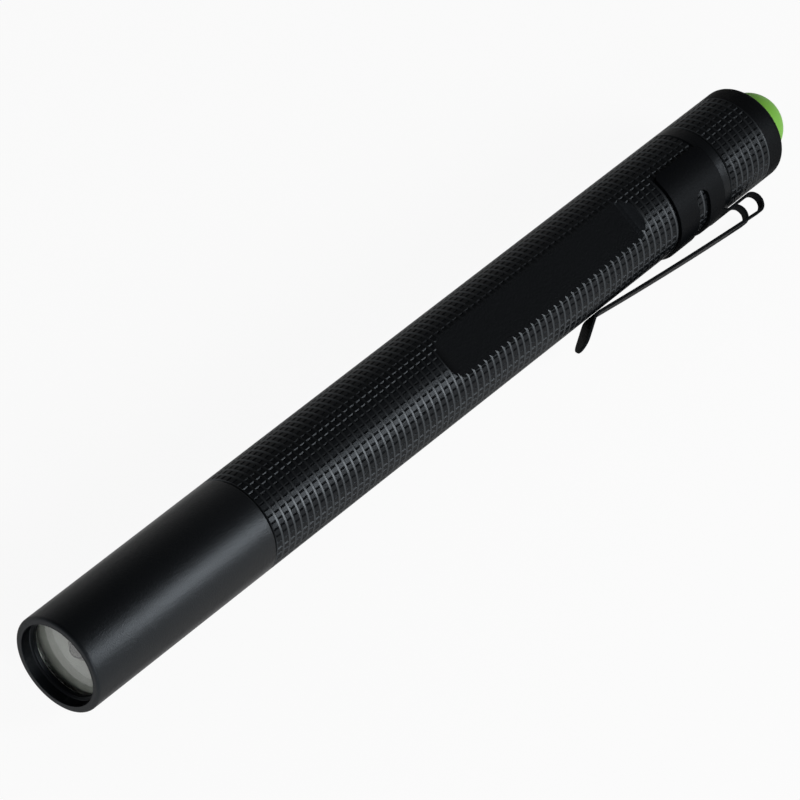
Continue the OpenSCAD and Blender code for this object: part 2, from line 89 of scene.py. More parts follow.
def makeGroup(name, inputs, outputs):
    group = bpy.data.node_groups.new(name, "ShaderNodeTree")
    for label, kind, value in inputs:
        socket = group.interface.new_socket(name=label, in_out="INPUT", socket_type=kind)
        socket.default_value = value
    for label, kind in outputs:
        group.interface.new_socket(name=label, in_out="OUTPUT", socket_type=kind)
    start = addNode(group, "NodeGroupInput", (-900, 0))
    end = addNode(group, "NodeGroupOutput", (700, 0))
    return group, start, end


# fine grain of a blasted or moulded surface: a tint, a roughness and a height
def makeGrainGroup():
    group, start, end = makeGroup(
        "surfaceGrain",
        [("Dark", "NodeSocketColor", (0.01, 0.01, 0.012, 1)), ("Light", "NodeSocketColor", (0.02, 0.02, 0.024, 1)),
         ("Scale", "NodeSocketFloat", 900.0), ("Rough Low", "NodeSocketFloat", 0.35),
         ("Rough High", "NodeSocketFloat", 0.45)],
        [("Color", "NodeSocketColor"), ("Roughness", "NodeSocketFloat"), ("Height", "NodeSocketFloat")])
    coords = addNode(group, "ShaderNodeTexCoord", (-900, 300))
    fine = addNode(group, "ShaderNodeTexNoise", (-600, 200), Detail=3.0, Roughness=0.6)
    broad = addNode(group, "ShaderNodeTexNoise", (-600, -100), Scale=60.0, Detail=4.0, Roughness=0.55)
    tint = addNode(group, "ShaderNodeMix", (-200, 200), data_type="RGBA")
    rough = addNode(group, "ShaderNodeMapRange", (-200, -150))
    spread = addNode(group, "ShaderNodeMath", (-400, 60), operation="MULTIPLY_ADD")
    spread.inputs[1].default_value = 0.5
    group.links.new(coords.outputs["Object"], fine.inputs["Vector"])
    group.links.new(coords.outputs["Object"], broad.inputs["Vector"])
    group.links.new(start.outputs["Scale"], fine.inputs["Scale"])
    group.links.new(fine.outputs["Fac"], spread.inputs[0])
    half = addNode(group, "ShaderNodeMath", (-400, -100), operation="MULTIPLY")
    half.inputs[1].default_value = 0.5
    group.links.new(broad.outputs["Fac"], half.inputs[0])
    group.links.new(half.outputs[0], spread.inputs[2])
    group.links.new(spread.outputs[0], tint.inputs["Factor"])
    group.links.new(start.outputs["Dark"], tint.inputs["A"])
    group.links.new(start.outputs["Light"], tint.inputs["B"])
    group.links.new(spread.outputs[0], rough.inputs["Value"])
    group.links.new(start.outputs["Rough Low"], rough.inputs["To Min"])
    group.links.new(start.outputs["Rough High"], rough.inputs["To Max"])
    group.links.new(tint.outputs["Result"], end.inputs["Color"])
    group.links.new(rough.outputs["Result"], end.inputs["Roughness"])
    group.links.new(fine.outputs["Fac"], end.inputs["Height"])
    return group


grainGroup = makeGrainGroup()


# shine is the specular level seen straight on, which fades at grazing angles
shineFade = {"from": 0.2, "to": 0.7, "left": 0.12}


def grainMaterial(name, dark, light, roughLow, roughHigh, grain=900.0, bump=0.05, shine=None, **sockets):
    material = bpy.data.materials.new(name)
    material.use_nodes = True
    tree = material.node_tree
    tree.nodes.clear()
    out = addNode(tree, "ShaderNodeOutputMaterial", (600, 0))
    shader = addNode(tree, "ShaderNodeBsdfPrincipled", (300, 0))
    grainNode = addNode(tree, "ShaderNodeGroup", (-200, 0), node_tree=grainGroup)
    lift = addNode(tree, "ShaderNodeBump", (50, -250), Strength=bump, Distance=0.0001)
    grainNode.inputs["Dark"].default_value = (*dark, 1)
    grainNode.inputs["Light"].default_value = (*light, 1)
    grainNode.inputs["Scale"].default_value = grain
    grainNode.inputs["Rough Low"].default_value = roughLow
    grainNode.inputs["Rough High"].default_value = roughHigh
    tree.links.new(grainNode.outputs["Color"], shader.inputs["Base Color"])
    tree.links.new(grainNode.outputs["Roughness"], shader.inputs["Roughness"])
    tree.links.new(grainNode.outputs["Height"], lift.inputs["Height"])
    tree.links.new(lift.outputs["Normal"], shader.inputs["Normal"])
    tree.links.new(shader.outputs["BSDF"], out.inputs["Surface"])
    for socket, value in sockets.items():
        shader.inputs[socket.replace("_", " ")].default_value = value
    if shine is not None:
        facing = addNode(tree, "ShaderNodeLayerWeight", (-200, 250), Blend=0.5)
        fade = addNode(tree, "ShaderNodeMapRange", (50, 250), interpolation_type="SMOOTHSTEP",
                       From_Min=shineFade["from"], From_Max=shineFade["to"], To_Min=shine,
                       To_Max=shine * shineFade["left"])
        tree.links.new(facing.outputs["Facing"], fade.inputs["Value"])
        tree.links.new(fade.outputs["Result"], shader.inputs["Specular IOR Level"])
    return material


# the bluish Specular Tint on the black finishes is painted light: it gives their highlights the cool colour of the
# light
finishes = {
    "headAnodise": grainMaterial("headAnodise", (0.0014, 0.0017, 0.0021), (0.0032, 0.0037, 0.0046), 0.32, 0.4,
                                 5200.0, 0.35, shine=0.31, Specular_Tint=(0.8, 0.9, 1, 1)),
    "padAnodise": grainMaterial("padAnodise", (0.0016, 0.0019, 0.0024), (0.0034, 0.004, 0.0048), 0.31, 0.4,
                                3000.0, 0.3, shine=0.16, Specular_Tint=(0.8, 0.9, 1, 1)),
    "edgeAnodise": grainMaterial("edgeAnodise", (0.002, 0.0024, 0.003), (0.004, 0.0046, 0.0056), 0.32, 0.4,
                                 3000.0, 0.1, shine=0.75, Specular_Tint=(0.85, 0.93, 1, 1)),
    "panelAnodise": grainMaterial("panelAnodise", (0.0012, 0.0014, 0.0017), (0.0028, 0.0032, 0.0038), 0.46, 0.56,
                                  3600.0, 0.5, shine=0.07, Specular_Tint=(0.8, 0.9, 1, 1)),
    "clipBlack": grainMaterial("clipBlack", (0.0014, 0.0016, 0.002), (0.003, 0.0034, 0.004), 0.44, 0.54,
                               3000.0, 0.4, shine=0.06, Specular_Tint=(0.8, 0.9, 1, 1)),
    "buttonRubber": grainMaterial("buttonRubber", (0.135, 0.36, 0.035), (0.17, 0.42, 0.05), 0.5, 0.62,
                                  1800.0, 0.06, Specular_IOR_Level=0.3),
    "bowlSilver": grainMaterial("bowlSilver", (0.17, 0.18, 0.155), (0.42, 0.43, 0.385), 0.28, 0.46,
                                620.0, 0.5, Metallic=1.0),
    # the diode's yellow is kept near black, far darker than its phosphor: painted shade for the bowl's bottom
    "diodeShadedYellow": grainMaterial("diodeShadedYellow", (0.026, 0.023, 0.012), (0.042, 0.037, 0.02), 0.18, 0.26, 2500.0, 0.03),
    "ceramicWhite": grainMaterial("ceramicWhite", (0.7, 0.7, 0.68), (0.8, 0.8, 0.78), 0.45, 0.6, 2000.0, 0.05),
    "sealRubber": grainMaterial("sealRubber", (0.008, 0.008, 0.008), (0.014, 0.014, 0.014), 0.5, 0.65, 2200.0, 0.06),
    "turnedAluminium": grainMaterial("turnedAluminium", (0.6, 0.61, 0.63), (0.7, 0.71, 0.73), 0.22, 0.36,
                                     1500.0, 0.04, Metallic=1.0),
    "boardGreen": grainMaterial("boardGreen", (0.01, 0.12, 0.03), (0.02, 0.19, 0.06), 0.3, 0.42, 1200.0, 0.04),
    "chipBlack": grainMaterial("chipBlack", (0.012, 0.012, 0.013), (0.025, 0.025, 0.027), 0.5, 0.62, 1800.0, 0.05),
    "carrierTan": grainMaterial("carrierTan", (0.46, 0.41, 0.31), (0.56, 0.5, 0.39), 0.42, 0.55, 1500.0, 0.05),
    "wireRed": grainMaterial("wireRed", (0.34, 0.012, 0.015), (0.45, 0.02, 0.025), 0.3, 0.42, 1500.0, 0.04),
    "contactBrass": grainMaterial("contactBrass", (0.62, 0.43, 0.14), (0.74, 0.54, 0.22), 0.2, 0.34,
                                  1800.0, 0.04, Metallic=1.0),
    "springSteel": grainMaterial("springSteel", (0.5, 0.51, 0.52), (0.64, 0.65, 0.66), 0.2, 0.34,
                                 1800.0, 0.04, Metallic=1.0),
    "cellSleeve": grainMaterial("cellSleeve", (0.02, 0.05, 0.08), (0.04, 0.08, 0.12), 0.25, 0.36, 900.0, 0.03),
}


def lensMaterial():
    material = bpy.data.materials.new("lensClear")
    material.use_nodes = True
    tree = material.node_tree
    shader = tree.nodes["Principled BSDF"]
    coords = addNode(tree, "ShaderNodeTexCoord", (-900, 0))
    haze = addNode(tree, "ShaderNodeTexNoise", (-700, 0), Scale=300.0, Detail=2.0)
    rough = addNode(tree, "ShaderNodeMapRange", (-400, 0), To_Min=0.015, To_Max=0.04)
    tree.links.new(coords.outputs["Object"], haze.inputs["Vector"])
    tree.links.new(haze.outputs["Fac"], rough.inputs["Value"])
    tree.links.new(rough.outputs["Result"], shader.inputs["Roughness"])
    shader.inputs["Base Color"].default_value = (0.97, 0.985, 0.99, 1)
    shader.inputs["Transmission Weight"].default_value = 1.0
    shader.inputs["IOR"].default_value = 1.49
    return material


finishes["lensClear"] = lensMaterial()
# a painted glint on the lens's ground edge: bright silver stands in for the lamp's reflection there, since the edge
# would render dark behind the glass
finishes["paintedGlintEdge"] = grainMaterial("paintedGlintEdge", (0.8, 0.83, 0.78), (0.9, 0.92, 0.88), 0.3, 0.4, 2500.0, 0.08,
                                        Metallic=1.0)
nodeFinish = {
    "lens_seal": "sealRubber", "head_o_ring": "sealRubber", "tail_o_ring": "sealRubber", "led_gasket": "ceramicWhite",
    "led_board": "ceramicWhite", "led_wires": "wireRed", "heat_sink_pill": "turnedAluminium",
    "driver_board": "boardGreen", "driver_components": "chipBlack", "contact_insulator": "carrierTan",
    "positive_spring": "contactBrass", "front_cell": "cellSleeve", "rear_cell": "cellSleeve",
    "retaining_ring": "turnedAluminium", "switch_carrier": "carrierTan", "switch_body": "chipBlack",
    "switch_terminals": "contactBrass", "switch_board": "boardGreen", "negative_spring": "springSteel",
    "switch_plunger": "ceramicWhite"}
for nodeName, finishName in nodeFinish.items():
    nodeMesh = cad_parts[nodeName].data
    nodeMesh.materials.clear()
    nodeMesh.materials.append(finishes[finishName])
print("finishes made:", len(finishes))


def markSharp(bm, limit):
    for face in bm.faces:
        face.smooth = True
    for edge in bm.edges:
        edge.smooth = len(edge.link_faces) == 2 and edge.calc_face_angle(0) < math.radians(limit)


def makePiece(bm, name, finishList, body, nodes, limit=28):
    markSharp(bm, limit)
    bmesh.ops.transform(bm, matrix=lieTurn, verts=bm.verts)
    mesh = bpy.data.meshes.new(name)
    bm.to_mesh(mesh)
    bm.free()
    for finishName in finishList:
        mesh.materials.append(finishes[finishName])
    piece = bpy.data.objects.new(name, mesh)
    bpy.context.scene.collection.objects.link(piece)
    if nodes:
        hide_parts(*nodes)
    if body:
        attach(piece, body)
    return piece


def closeMesh(bm):
    bmesh.ops.remove_doubles(bm, verts=bm.verts, dist=weld)
    bmesh.ops.recalc_face_normals(bm, faces=bm.faces)


# an outline of (radius, place along the tube) as a closed loop of verts and edges
def drawOutline(bm, outline):
    verts = [bm.verts.new((x * mm, 0, radius * mm)) for radius, x in outline]
    edges = [bm.edges.new(pair) for pair in zip(verts, verts[1:] + verts[:1])]
    return verts, edges


# turns the outline round the tube's axis into a closed body
def turnOutline(outline, steps):
    bm = bmesh.new()
    verts, edges = drawOutline(bm, outline)
    bmesh.ops.spin(bm, geom=verts + edges, cent=(0, 0, 0), axis=(1, 0, 0), angle=2 * math.pi, steps=steps,
                   use_merge=True)
    closeMesh(bm)
    return bm


# winds the mesh's one face round the tube's axis while it moves along it
def windFace(bm, travel, turns, steps):
    bmesh.ops.spin(bm, geom=bm.faces[:], cent=(0, 0, 0), axis=(1, 0, 0), dvec=(travel / steps * mm, 0, 0),
                   angle=2 * math.pi * turns, steps=steps)
    closeMesh(bm)


def arcPoints(middle, radius, start, stop, steps):
    return [(middle[0] + radius * math.cos(math.radians(start + (stop - start) * i / steps)),
             middle[1] + radius * math.sin(math.radians(start + (stop - start) * i / steps)))
            for i in range(steps + 1)]


# the head is one turned shell: a rounded rim, a mouth with a lip before the lens, a socket for the barrel
head = {"rimRound": 0.45, "mouth": 5.8, "mouthDepth": 1.5, "lip": 5.35, "lensAt": 2.15, "pocket": 5.9,
        "socket": 6.06, "socketAt": 26.1, "seamEdge": 0.25, "edge": 0.06, "corner": 0.1, "lipLead": 0.2,
        "frontLead": 0.02, "frontRun": 0.03, "around": 160}
outline = [(head["mouth"] + head["edge"], 0.0)]
outline += arcPoints((r - head["rimRound"], head["rimRound"]), head["rimRound"], -90, 0, 8)
outline += arcPoints((r - head["seamEdge"], tube["headEnd"] - head["seamEdge"]), head["seamEdge"], 0, 90, 5)
outline += [(head["socket"], tube["headEnd"]), (head["socket"], head["socketAt"]), (head["pocket"], head["socketAt"]),
            (head["pocket"], head["lensAt"]), (head["lip"], head["lensAt"]),
            (head["lip"], head["mouthDepth"] + head["lipLead"]),
            (head["lip"] + head["edge"], head["mouthDepth"] + head["edge"]),
            (head["mouth"] - head["corner"], head["mouthDepth"]), (head["mouth"], head["mouthDepth"] - head["corner"]),
            (head["mouth"], head["corner"]), (head["mouth"] + head["frontLead"], head["frontRun"])]
makePiece(turnOutline(outline, head["around"]), "headShell", ["headAnodise"], "barrel",
          ["head_shell"])

lens = {"radius": 5.85, "front": 2.15, "back": 3.35, "edge": 0.12, "around": 128, "wallLean": 0.1}
outline = [(0, lens["front"]), (lens["radius"] - lens["edge"], lens["front"]),
           (lens["radius"], lens["front"] + lens["edge"]), (lens["radius"], lens["back"] - lens["edge"]),
           (lens["radius"] - lens["edge"], lens["back"]), (0, lens["back"])]
bm = turnOutline(outline, lens["around"])
# the lens's side wall takes the painted glint
for face in bm.faces:
    if abs(face.normal.x) < lens["wallLean"]:
        face.material_index = 1
makePiece(bm, "lensDisc", ["lensClear", "paintedGlintEdge"], "barrel", ["lens"])

bowl = {"mouth": 5.7, "depth": 1.1, "front": 3.36, "hole": 1.6, "back": 4.8, "rim": 5.85, "groove": 5.32,
        "grooveAt": 3.8, "grooveEnd": 4.34, "steps": 32, "around": 128}
outline = []
for i in range(bowl["steps"] + 1):
    radius = bowl["mouth"] + (bowl["hole"] - bowl["mouth"]) * i / bowl["steps"]
    rise = (bowl["mouth"] ** 2 - radius ** 2) / (bowl["mouth"] ** 2 - bowl["hole"] ** 2)
    outline.append((radius, bowl["front"] + bowl["depth"] * rise))
outline += [(bowl["hole"], bowl["back"]), (bowl["rim"], bowl["back"]), (bowl["rim"], bowl["grooveEnd"]),
            (bowl["groove"], bowl["grooveEnd"]), (bowl["groove"], bowl["grooveAt"]),
            (bowl["rim"], bowl["grooveAt"]), (bowl["rim"], bowl["front"])]
makePiece(turnOutline(outline, bowl["around"]), "reflectorBowl", ["bowlSilver"], "barrel",
          ["reflector"])

diode = {"side": 3.5, "back": 5.2, "height": 0.4, "dome": 1.3, "edge": 0.08, "slack": 0.01}
diodeMiddle = Vector(((diode["back"] - diode["height"] / 2) * mm, 0, 0))
diodeFront = (diode["back"] - diode["height"]) * mm
bm = bmesh.new()
bmesh.ops.create_cube(bm, size=1.0, matrix=Matrix.LocRotScale(
    diodeMiddle, None, Vector((diode["height"], diode["side"], diode["side"])) * mm))
bmesh.ops.bevel(bm, geom=bm.edges[:], offset=diode["edge"] * mm, affect="EDGES", segments=2, profile=0.5, material=-1)
dome = bmesh.ops.create_uvsphere(
    bm, u_segments=32, v_segments=20, radius=diode["dome"] * mm,
    matrix=Matrix.Translation((diodeFront, 0, 0)) @ Matrix.Rotation(math.radians(90), 4, "Y"))
domeFaces = list({face for vert in dome["verts"] for face in vert.link_faces})
bmesh.ops.bisect_plane(bm, geom=dome["verts"] + domeFaces + list({e for f in domeFaces for e in f.edges}),
                       plane_co=diodeMiddle, plane_no=(1, 0, 0), clear_outer=True)
bmesh.ops.holes_fill(bm, edges=[edge for edge in bm.edges if edge.is_boundary], sides=0)
for face in bm.faces:
    if face.calc_center_median().x > diodeFront - diode["slack"] * mm:
        face.material_index = 1
makePiece(bm, "diodeEmitter", ["diodeShadedYellow", "ceramicWhite"], "barrel", ["led_emitter"])
print("head, lens, bowl and diode made")

grooves = {"pitch": 1.2, "half": 0.2, "depth": 0.2, "floorFrom": -0.17, "floorTo": -0.13, "rise": 0.13,
           "step": 0.06, "landEdge": 0.16, "around": 46, "split": 3, "notchEdge": 0.15, "notchDepth": 0.12,
           "landSlack": 0.05, "landLean": 0.01, "grooveSlack": 0.1, "sharp": 18}
# places in the barrel's and the cap's lists of finishes
landSlot, grooveSlot, plainSlot, runoutHighlightSlot = range(4)


# ring grooves with a broad bevel that faces the head, and a small step up to the next land
def ringGrooves(start, count):
    points = []
    for i in range(1, count + 1):
        at = start + i * grooves["pitch"]
        points += [(r, at - grooves["half"]), (r - grooves["depth"], at + grooves["floorFrom"]),
                   (r - grooves["depth"], at + grooves["floorTo"]),
                   (r - grooves["step"], at + grooves["rise"]), (r, at + grooves["landEdge"])]
    return points


# turns the outline, then sinks every third facet of each land as an axial notch
def groovedTube(outline, start, count):
    steps = grooves["around"] * grooves["split"]
    bm = turnOutline(outline, steps)
    last = start + count * grooves["pitch"]
    notches = []
    for face in bm.faces:
        place = face.calc_center_median()
        out = math.hypot(place.y, place.z)
        if not start * mm < place.x < last * mm:
            continue
        if out > (r - grooves["landSlack"]) * mm and abs(face.normal.x) < grooves["landLean"]:
            turn = math.atan2(place.y, place.z) / (2 * math.pi) * steps
            if math.floor(turn) % grooves["split"] == 0:
                notches.append(face)
        elif out > (r - grooves["depth"] - grooves["grooveSlack"]) * mm:
            face.material_index = grooveSlot
    bmesh.ops.inset_individual(bm, faces=notches, thickness=grooves["notchEdge"] * mm,
                               depth=-grooves["notchDepth"] * mm, use_even_offset=True)
    return bm


barrel = {"front": 26.4, "lead": 5.7, "leadEnd": 26.7, "seamStep": 0.2, "seamRun": 0.1, "shoulder": 126.3,
          "shoulderAt": 126.43, "shoulderStep": 0.07, "shoulderEdge": 0.25, "sealFloor": 5.7, "sealFrom": 127.4,
          "sealTo": 127.86, "relief": 128.15, "threadAt": 128.4, "threadRoot": 5.74, "threadEnd": 132.75,
          "endRadius": 5.6, "end": 132.9}
panel = {"x0": 71.6, "x1": 107.0, "depth": 0.8, "cutter": 5.0, "blockWide": 16.0, "blockHigh": 12.0, "segments": 24,
         "flat": 0.9999, "middling": 7.0, "bright": 14.5}
outline = [(tube["bore"], barrel["front"]), (barrel["lead"], barrel["front"]), (tube["neck"], barrel["leadEnd"]),
           (tube["neck"], tube["barrelStart"]), (r - barrel["seamStep"], tube["barrelStart"]),
           (r, tube["barrelStart"] + barrel["seamRun"])]
outline += ringGrooves(tube["barrelStart"], tube["barrelRings"])
outline += [(r, barrel["shoulder"]), (r - barrel["shoulderStep"], barrel["shoulderAt"]),
            (r - barrel["shoulderEdge"], tube["barrelEnd"]), (tube["neck"], tube["barrelEnd"]),
            (tube["neck"], barrel["sealFrom"]), (barrel["sealFloor"], barrel["sealFrom"]),
            (barrel["sealFloor"], barrel["sealTo"]), (tube["neck"], barrel["sealTo"]),
            (tube["neck"], barrel["relief"]), (barrel["threadRoot"], barrel["threadAt"]),
            (barrel["threadRoot"], barrel["threadEnd"]), (barrel["endRadius"], barrel["end"]),
            (tube["bore"], barrel["end"])]
bm = groovedTube(outline, tube["barrelStart"], tube["barrelRings"])
barrelTube = makePiece(bm, "barrelTube", ["padAnodise", "edgeAnodise", "panelAnodise", "headAnodise"], None,
                       ["barrel"], grooves["sharp"])

# the panel's cutter is a block with two round edges, which leave the run-outs
bm = bmesh.new()
x0, x1 = panel["x0"] - panel["cutter"], panel["x1"] + panel["cutter"]
z0 = r - panel["depth"]
bmesh.ops.create_cube(bm, size=1.0, matrix=Matrix.LocRotScale(
    Vector(((x0 + x1) / 2, 0, z0 + panel["blockHigh"] / 2)) * mm, None,
    Vector((x1 - x0, panel["blockWide"], panel["blockHigh"])) * mm))
roundEdges = [e for e in bm.edges if all(abs(v.co.z - z0 * mm) < near for v in e.verts)
              and abs(e.verts[0].co.x - e.verts[1].co.x) < near]
bmesh.ops.bevel(bm, geom=roundEdges, offset=panel["cutter"] * mm, affect="EDGES", segments=panel["segments"],
                profile=0.5, material=-1)
cutterBlock = makePiece(bm, "cutterBlock", ["padAnodise", "edgeAnodise", "panelAnodise"], None, [])
for face in cutterBlock.data.polygons:
    face.material_index = plainSlot
cut = barrelTube.modifiers.new("panelCut", "BOOLEAN")
cut.object, cut.operation, cut.solver = cutterBlock, "DIFFERENCE", "EXACT"
cutMesh = bpy.data.meshes.new_from_object(barrelTube.evaluated_get(bpy.context.evaluated_depsgraph_get()))
barrelTube.modifiers.clear()
barrelTube.data = cutMesh
bpy.data.objects.remove(cutterBlock)
bm = bmesh.new()
bm.from_mesh(cutMesh)
bmesh.ops.remove_doubles(bm, verts=bm.verts, dist=weld)
markSharp(bm, grooves["sharp"])
# the tail's run-out takes shinier finishes as it leans towards the head: a painted highlight, graded by the faces'
# lean
for face in bm.faces:
    if face.material_index == plainSlot:
        face.smooth = face.normal.dot(panelWay) < panel["flat"]
        lean = math.degrees(math.asin(max(-1.0, min(1.0, -face.normal.x))))
        if lean > panel["bright"]:
            face.material_index = runoutHighlightSlot
        elif lean > panel["middling"]:
            face.material_index = landSlot
bm.to_mesh(cutMesh)
bm.free()
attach(barrelTube, "barrel")
print("barrel made:", len(cutMesh.polygons), "faces")

cap = {"hole": 4.9, "bore": 6.06, "wallAt": 136.9, "round": 1.0, "seamStep": 0.2, "seamRun": 0.1, "holeEdge": 0.12,
       "holeCorner": 0.03}
outline = [(cap["hole"], cap["wallAt"]), (cap["bore"], cap["wallAt"]), (cap["bore"], tube["capStart"]),
           (r - cap["seamStep"], tube["capStart"]), (r, tube["capStart"] + cap["seamRun"])]
outline += ringGrooves(tube["capStart"], tube["capRings"])
outline += arcPoints((r - cap["round"], tube["capEnd"] - cap["round"]), cap["round"], 0, 90, 8)
outline += [(cap["hole"] + cap["holeEdge"], tube["capEnd"]),
            (cap["hole"] + cap["holeCorner"], tube["capEnd"] - cap["holeCorner"]),
            (cap["hole"], tube["capEnd"] - cap["holeEdge"])]
bm = groovedTube(outline, tube["capStart"], tube["capRings"])
plainFrom = tube["capStart"] + tube["capRings"] * grooves["pitch"] + grooves["half"]
for face in bm.faces:
    if face.calc_center_median().x > plainFrom * mm:
        face.material_index = plainSlot
makePiece(bm, "tailCap", ["padAnodise", "edgeAnodise", "panelAnodise"], "tail_cap", ["tail_cap"],
          grooves["sharp"])

# one helical ridge is the thread that shows when the cap is turned off
thread = {"root": 5.7, "crest": 5.98, "rootHalf": 0.38, "crestHalf": 0.1, "pitch": 1.0, "from": 128.5, "turns": 4,
          "steps": 160}
bm = bmesh.new()
ridge = [(thread["root"], thread["from"] - thread["rootHalf"]),
         (thread["crest"], thread["from"] - thread["crestHalf"]),
         (thread["crest"], thread["from"] + thread["crestHalf"]),
         (thread["root"], thread["from"] + thread["rootHalf"])]
bm.faces.new(drawOutline(bm, ridge)[0])
windFace(bm, thread["pitch"] * thread["turns"], thread["turns"], thread["steps"])
makePiece(bm, "neckThread", ["edgeAnodise"], "barrel", [])
print("tail cap and thread made")

# a hollow rubber dome, with a flange under the cap's wall and a post towards the plunger
button = {"radius": 4.85, "rise": 0.7, "wall": 0.9, "flange": 6.01, "flangeAt": 136.1, "wallAt": 136.88, "post": 1.5,
          "postAt": 138.45, "around": 96}
domeMiddle = (0, tube["capEnd"] + button["rise"])
inside = button["radius"] - button["wall"]
outline = [(inside, button["flangeAt"]), (button["flange"], button["flangeAt"]), (button["flange"], button["wallAt"]),
           (button["radius"], button["wallAt"]), (button["radius"], tube["capEnd"])]
outline += arcPoints(domeMiddle, button["radius"], 0, 90, 24)
outline += [(0, button["postAt"]), (button["post"], button["postAt"])]
outline += arcPoints(domeMiddle, inside, math.degrees(math.acos(button["post"] / inside)), 0, 12)
buttonBoot = makePiece(turnOutline(outline, button["around"]), "buttonBoot", ["buttonRubber"], None,
                       ["button_boot"])
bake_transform(buttonBoot)

# the switch spring under the plunger, wound at rest, though the real one closes up as the button goes in
coil = {"radius": 1.45, "wire": 0.14, "from": 128.96, "to": 131.44, "turns": 3.5, "steps": 98, "floor": 128.8,
        "pressed": 0.455, "sides": 8, "sharp": 50}
bm = bmesh.new()
standUp = Matrix.Translation((coil["from"] * mm, 0, coil["radius"] * mm)) @ Matrix.Rotation(math.pi / 2, 4, "X")
bmesh.ops.create_circle(bm, cap_ends=True, segments=coil["sides"], radius=coil["wire"] * mm, matrix=standUp)
windFace(bm, coil["to"] - coil["from"], coil["turns"], coil["steps"])
switchCoil = makePiece(bm, "switchCoil", ["springSteel"], "tail_cap", ["switch_spring"],
                       coil["sharp"])
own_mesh(switchCoil)
print("button and switch spring made")

# the pocket clip is drawn flat as a sheet blank and then bent
clip = {"sheet": 0.4, "middle": 7.03, "bandWidth": 9.6, "wrap": 110, "corner": 1.0, "bandRear": 124.6,
        "slotHalf": 1.2, "slotShift": 0.4, "slotWrap": 57, "half": 2.65, "legInner": 1.5, "rise": 1.0,
        "loopAt": 129.73625, "loopHeight": 8.43625, "loopRadius": 1.36375, "lead": 3.8, "bendAt": (98.0, 9.64),
        "bendRadius": 2.6, "tabAngle": 28.0, "tabLength": 4.8, "tabHalf": 1.7, "armSlot": 3.4, "slotStart": 0.6,
        "slotCorner": 0.5, "fillet": 0.35, "taperFrom": 123.4, "leastEdge": 0.05, "softEdge": 0.05,
        "hingeAt": (98.0, 6.92), "hingeLean": (-0.0338, 1.0), "hingeBelow": 0.44, "hingeAbove": 0.1,
        "flatLimit": 0.01, "softAngle": 50, "sharp": 60}
# how many slices the band, the rise to the loop, the loop, the bow and the last bend get
slices = {"band": 72, "rise": 5, "loop": 24, "bow": 15, "bend": 8}
leadWay = Vector((-math.sin(math.radians(clip["lead"])), math.cos(math.radians(clip["lead"]))))
loopMiddle, bendMiddle = Vector((clip["loopAt"], clip["loopHeight"])), Vector(clip["bendAt"])
reach = bendMiddle - loopMiddle
join = clip["loopRadius"] + clip["bendRadius"]
bowMore = (reach.length_squared - join ** 2) / 2 / (join - reach.dot(leadWay))
bowMiddle, bowRadius = loopMiddle - bowMore * leadWay, clip["loopRadius"] + bowMore
armSlope = math.degrees(math.atan((bowMiddle.x - bendMiddle.x) / (bendMiddle.y - bowMiddle.y)))
# each bend is (middle, radius, first angle, last angle) in the plane of tube and clip
bends = [(loopMiddle, clip["loopRadius"], -90, 90 + clip["lead"]),
         (bowMiddle, bowRadius, 90 + clip["lead"], 90 + armSlope),
         (bendMiddle, clip["bendRadius"], armSlope - 90, -90 - clip["tabAngle"])]
stations = [clip["loopAt"] - clip["bandRear"]]
for bendPlace, radius, first, last in bends:
    stations.append(stations[-1] + radius * math.radians(abs(last - first)))
blankEnd = stations[-1] + clip["tabLength"]
taperAt = stations[1] + clip["loopAt"] - clip["taperFrom"]


# place along the tube and height over the axis, for a distance along the blank from the band's rear edge
def bentPlace(run):
    if run <= stations[0]:
        return clip["bandRear"] + run, clip["loopHeight"] - clip["loopRadius"]
    for i, (bendPlace, radius, first, last) in enumerate(bends):
        if run <= stations[i + 1] or i == len(bends) - 1:
            share = min((run - stations[i]) / (stations[i + 1] - stations[i]), 1.0)
            turn = math.radians(first + (last - first) * share)
            past = max(run - stations[-1], 0)
            lean = math.radians(clip["tabAngle"])
            return (bendPlace.x + radius * math.cos(turn) - past * math.cos(lean),
                    bendPlace.y + radius * math.sin(turn) + past * math.sin(lean))


def addLoop(bm, points):
    verts = [bm.verts.new((x * mm, y * mm, 0)) for x, y in points]
    for pair in zip(verts, verts[1:] + verts[:1]):
        bm.edges.new(pair)


wrapHalf = math.radians(clip["wrap"]) * clip["middle"]
slotHalf = math.radians(clip["slotWrap"]) * clip["middle"]
corner, fillet, slotCorner = clip["corner"], clip["fillet"], clip["slotCorner"]
bandFront = -clip["bandWidth"]
tipAt = blankEnd - clip["tabHalf"]
blank = arcPoints((bandFront + corner, -wrapHalf + corner), corner, 180, 270, 6)
blank += arcPoints((-corner, -wrapHalf + corner), corner, 270, 360, 6)
blank += arcPoints((fillet, -clip["half"] - fillet), fillet, 180, 90, 5)
blank += [(stations[1], -clip["half"]), (taperAt, -clip["half"]), (stations[2], -clip["tabHalf"])]
blank += arcPoints((tipAt, 0), clip["tabHalf"], -90, 90, 16)
blank += [(stations[2], clip["tabHalf"]), (taperAt, clip["half"]), (stations[1], clip["half"])]
blank += arcPoints((fillet, clip["half"] + fillet), fillet, 270, 180, 5)
blank += arcPoints((-corner, wrapHalf - corner), corner, 0, 90, 6)
blank += arcPoints((bandFront + corner, wrapHalf - corner), corner, 90, 180, 6)
bandMiddle = bandFront / 2 + clip["slotShift"]
bandSlot = arcPoints((bandMiddle, -slotHalf), clip["slotHalf"], 180, 360, 12)
bandSlot += arcPoints((bandMiddle, slotHalf), clip["slotHalf"], 0, 180, 12)
slotEnd = stations[1] + clip["armSlot"]
armSlot = arcPoints((clip["slotStart"], -clip["legInner"] + slotCorner), slotCorner, 180, 270, 5)
armSlot += arcPoints((slotEnd, 0), clip["legInner"], -90, 90, 14)
